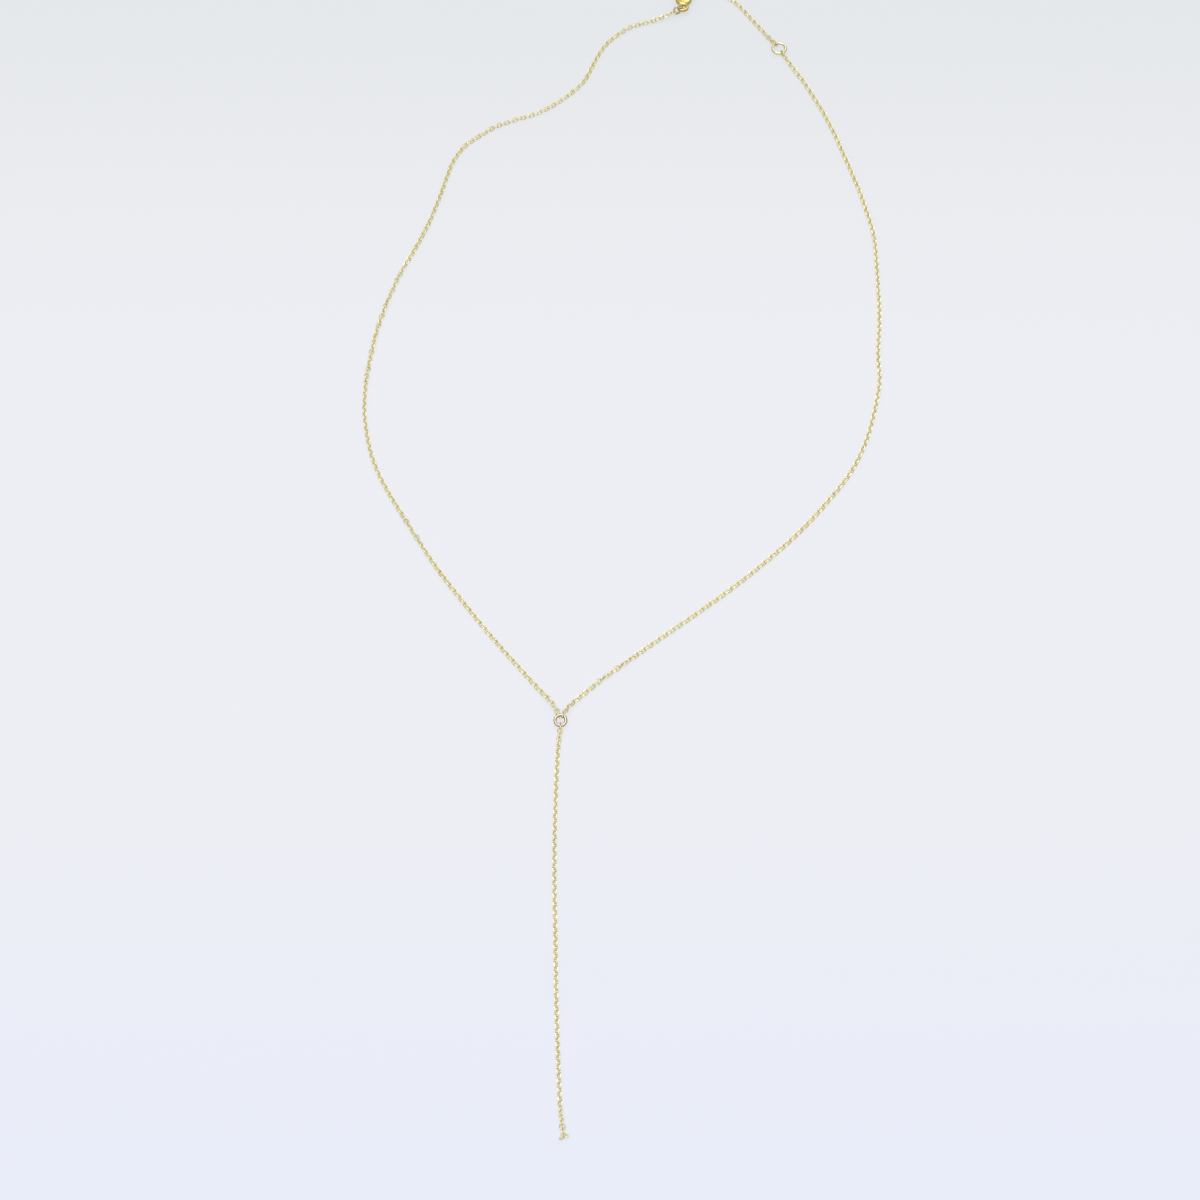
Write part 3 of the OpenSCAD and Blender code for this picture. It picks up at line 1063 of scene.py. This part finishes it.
@dataclass
class YNecklace:
    """The whole necklace: rings, strands and clasp, at the places that the CAD solids have.

    Attributes:
        gauge: The chain's sizes.
        y_at: Middle of the Y ring, seen from above.
        y_outside: Outside diameter of the Y ring.
        y_wire: Its wire's diameter.
        y_tip: How far its upper edge is tipped up, in degrees.
        extender_at: Middle of the extender ring, seen from above.
        extender_outside: Outside diameter of the extender's two rings.
        extender_wire: Their wire's diameter.
        extender_tip: How far the first one's upper edge is tipped up, in degrees.
        end_ring_lean: How far the end ring leans through the hook, in degrees.
        end_ring_across: How far it stands to the side of the clasp's axis.
        end_ring_along: How far it stands along that axis from the eye.
        clasp_eye: Middle of the clasp's eye, seen from above.
        clasp_heading: Direction that the clasp points in, in degrees.
        clasp_ring_heading: Direction of the clasp's ring from the eye, in degrees.
        clasp_ring_reach: Distance of its middle from the eye's.
        clasp_ring_outside: Its outside diameter.
        clasp_ring_wire: Its wire's diameter.
    """

    gauge: Gauge = field(default_factory=Gauge)
    y_at: tuple[float, float] = (-11.2 * MM, -52.8 * MM)
    y_outside: float = 2.4 * MM
    y_wire: float = 0.56 * MM
    y_tip: float = 27.0
    extender_at: tuple[float, float] = (30.7 * MM, 115.2 * MM)
    extender_outside: float = 3.1 * MM
    extender_wire: float = 0.56 * MM
    extender_tip: float = 9.0
    end_ring_lean: float = 34.0
    end_ring_across: float = 1.4 * MM
    end_ring_along: float = 5.8 * MM
    clasp_eye: tuple[float, float] = (11.9 * MM, 126.6 * MM)
    clasp_heading: float = 85.0
    clasp_ring_heading: float = 213.0
    clasp_ring_reach: float = 1.125 * MM
    clasp_ring_outside: float = 2.4 * MM
    clasp_ring_wire: float = 0.4 * MM

    def tipped_ring(
        self, at: tuple[float, float], tip: float, outside: float, wire: float
    ) -> Ring:
        """A ring in the chain's end links, low at its near edge and tipped up at its far one.

        Args:
            at: Its middle, seen from above.
            tip: How far it is tipped up, in degrees.
            outside: Its outside diameter.
            wire: Its wire's diameter.

        Returns:
            The ring, at the height where its near edge runs through a link on edge.
        """
        angle = np.radians(tip)
        height = self.gauge.standing(wire) + (outside - wire) / 2 * np.sin(angle)
        return Ring((*at, height), (1, 0, 0), (0, np.cos(angle), np.sin(angle)), outside, wire)

    def clasp_height(self) -> float:
        """Height of the clasp's middle, level with the end ring's."""
        lean, wire = np.radians(self.end_ring_lean), self.extender_wire
        return wire / 2 + (self.extender_outside - wire) / 2 * np.cos(lean)

    def end_ring(self) -> Ring:
        """The extender's last ring, which leans through the clasp's hook.

        Returns:
            The ring, at the clasp's height.
        """
        lean, angle = np.radians(self.end_ring_lean), np.radians(self.clasp_heading)
        across, along = self.end_ring_across, self.end_ring_along
        x = self.clasp_eye[0] + across * np.sin(angle) + along * np.cos(angle)
        y = self.clasp_eye[1] - across * np.cos(angle) + along * np.sin(angle)
        return Ring(
            (x, y, self.clasp_height()), (1, 0, 0), (0, -np.sin(lean), np.cos(lean)),
            self.extender_outside, self.extender_wire,
        )

    def clasp_ring(self) -> Ring:
        """The ring between the left strand and the clasp's eye, on edge through the eye's rim.

        Returns:
            The ring, upright and at the clasp's height.
        """
        angle, reach = np.radians(self.clasp_ring_heading), self.clasp_ring_reach
        way = (float(np.cos(angle)), float(np.sin(angle)), 0.0)
        x, y = self.clasp_eye[0] + reach * way[0], self.clasp_eye[1] + reach * way[1]
        return Ring(
            (x, y, self.clasp_height()), way, (0, 0, 1),
            self.clasp_ring_outside, self.clasp_ring_wire,
        )

    def build(self) -> None:
        """Makes every piece in order, from the Y ring outward."""
        chain, wire = CHAIN_GOLD.material(), RING_GOLD.material()
        y_ring = self.tipped_ring(self.y_at, self.y_tip, self.y_outside, self.y_wire)
        extender = self.tipped_ring(
            self.extender_at, self.extender_tip, self.extender_outside, self.extender_wire
        )
        end, held = self.end_ring(), self.clasp_ring()
        JumpRing(
            "front_ring", "y_ring", y_ring, Slot.Y_RING, joint=185.0
        ).build(Y_RING_GOLD.material())
        JumpRing(
            "extender_start_ring", "extender_ring", extender, Slot.RING, joint=200.0
        ).build(wire)
        JumpRing("extender_end_ring", "end_ring", end, Slot.RING, joint=60.0).build(wire)
        JumpRing("clasp_jump_ring", "clasp_ring", held, Slot.RING, joint=90.0).build(wire)
        LobsterClasp(
            (*self.clasp_eye, self.clasp_height()), self.clasp_heading
        ).build(CLASP_GOLD.material())
        CableChain(
            "left_neck_chain", ("neck_chain_left", "neck_chain_left_ends"), LEFT_ROUTE,
            Hook(y_ring, 108), Hook(held, -15), seed=1,
            twists=(Twist(43 * MM, 56 * MM, 180), Twist(85 * MM, 121 * MM, 720)),
        ).build(chain)
        CableChain(
            "right_neck_chain", ("neck_chain_right", "neck_chain_right_ends"), RIGHT_ROUTE,
            Hook(y_ring, 63), Hook(extender, -66), seed=2, twists=(Twist(8 * MM, 20 * MM, 180),),
        ).build(chain)
        CableChain(
            "front_drop", ("drop_chain",), DROP_ROUTE, Hook(y_ring, 270), seed=3,
        ).build(chain)
        CableChain(
            "extender", ("extender_chain",), EXTENDER_ROUTE, Hook(extender, 120), Hook(end, -10),
            seed=4,
        ).build(chain)


# Routes of the strands, in millimetres. A point with no height lies on the surface.
LEFT_ROUTE = (
    (-11.8, -50.9, 1.2), (-12.8, -48.8, 1.05), (-14, -47, 0.75), (-17.5, -42), (-23.5, -33.5),
    (-29, -25), (-33, -18.5), (-37, -11), (-42, -1), (-44.5, 5), (-46, 10.5), (-47, 17),
    (-47.25, 22), (-47, 28), (-46, 36.5), (-45, 42), (-43.5, 48), (-42, 53), (-39.5, 59.5),
    (-37.5, 65), (-36, 70), (-34.5, 76), (-33.5, 80.5), (-32.5, 84), (-30.5, 88), (-27.5, 91),
    (-24.5, 93.5), (-20.5, 95.5), (-17, 97), (-13.5, 99.5), (-10, 103), (-7.5, 106.5),
    (-6, 110.5), (-4.5, 114.5), (-2.5, 118), (1, 121.5), (3.5, 122.75), (7, 124, 0.6),
    (9, 125, 0.9),
)
RIGHT_ROUTE = (
    (-10.5, -51.3, 1.5), (-9.9, -50, 1.15), (-8.25, -47.75, 0.65), (-4.75, -44), (-1.5, -41),
    (4, -36), (8, -32.5), (12.5, -28.5), (18.5, -23), (24, -17.5), (29, -12), (33, -7),
    (36.5, -2), (38.5, 1), (41, 5.5), (43.5, 12), (45, 18), (46, 23), (46.5, 27), (46.5, 33),
    (47, 40), (47.25, 46), (47.25, 51), (47.25, 57), (47, 64), (46, 70), (45, 75), (43.5, 81),
    (42, 86.5), (40.5, 92), (38.5, 98), (36.5, 103), (35, 106.5), (33, 110.5), (32, 112.5, 0.55),
)
EXTENDER_ROUTE = (
    (29.5, 117.25, 0.7), (28.25, 119.5), (26.5, 122.5), (25, 125), (23.5, 127.5), (22, 129.5),
    (20, 131, 0.55), (17.25, 132, 0.75),
)
DROP_ROUTE = (
    (-11.25, -55, 0.6), (-11.5, -57.5), (-11.75, -63), (-12, -74), (-12, -84), (-11.75, -97),
    (-11.5, -110), (-11.25, -117.5), (-11, -124.5), (-10.75, -129.5), (-10.25, -134.5),
)


def main() -> None:
    """Loads the frame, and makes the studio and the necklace."""
    logging.basicConfig(level=logging.INFO, format="%(name)s: %(message)s")
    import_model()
    studio = Studio()
    studio.camera()
    studio.build()
    YNecklace().build()


if __name__ == "__main__":
    main()
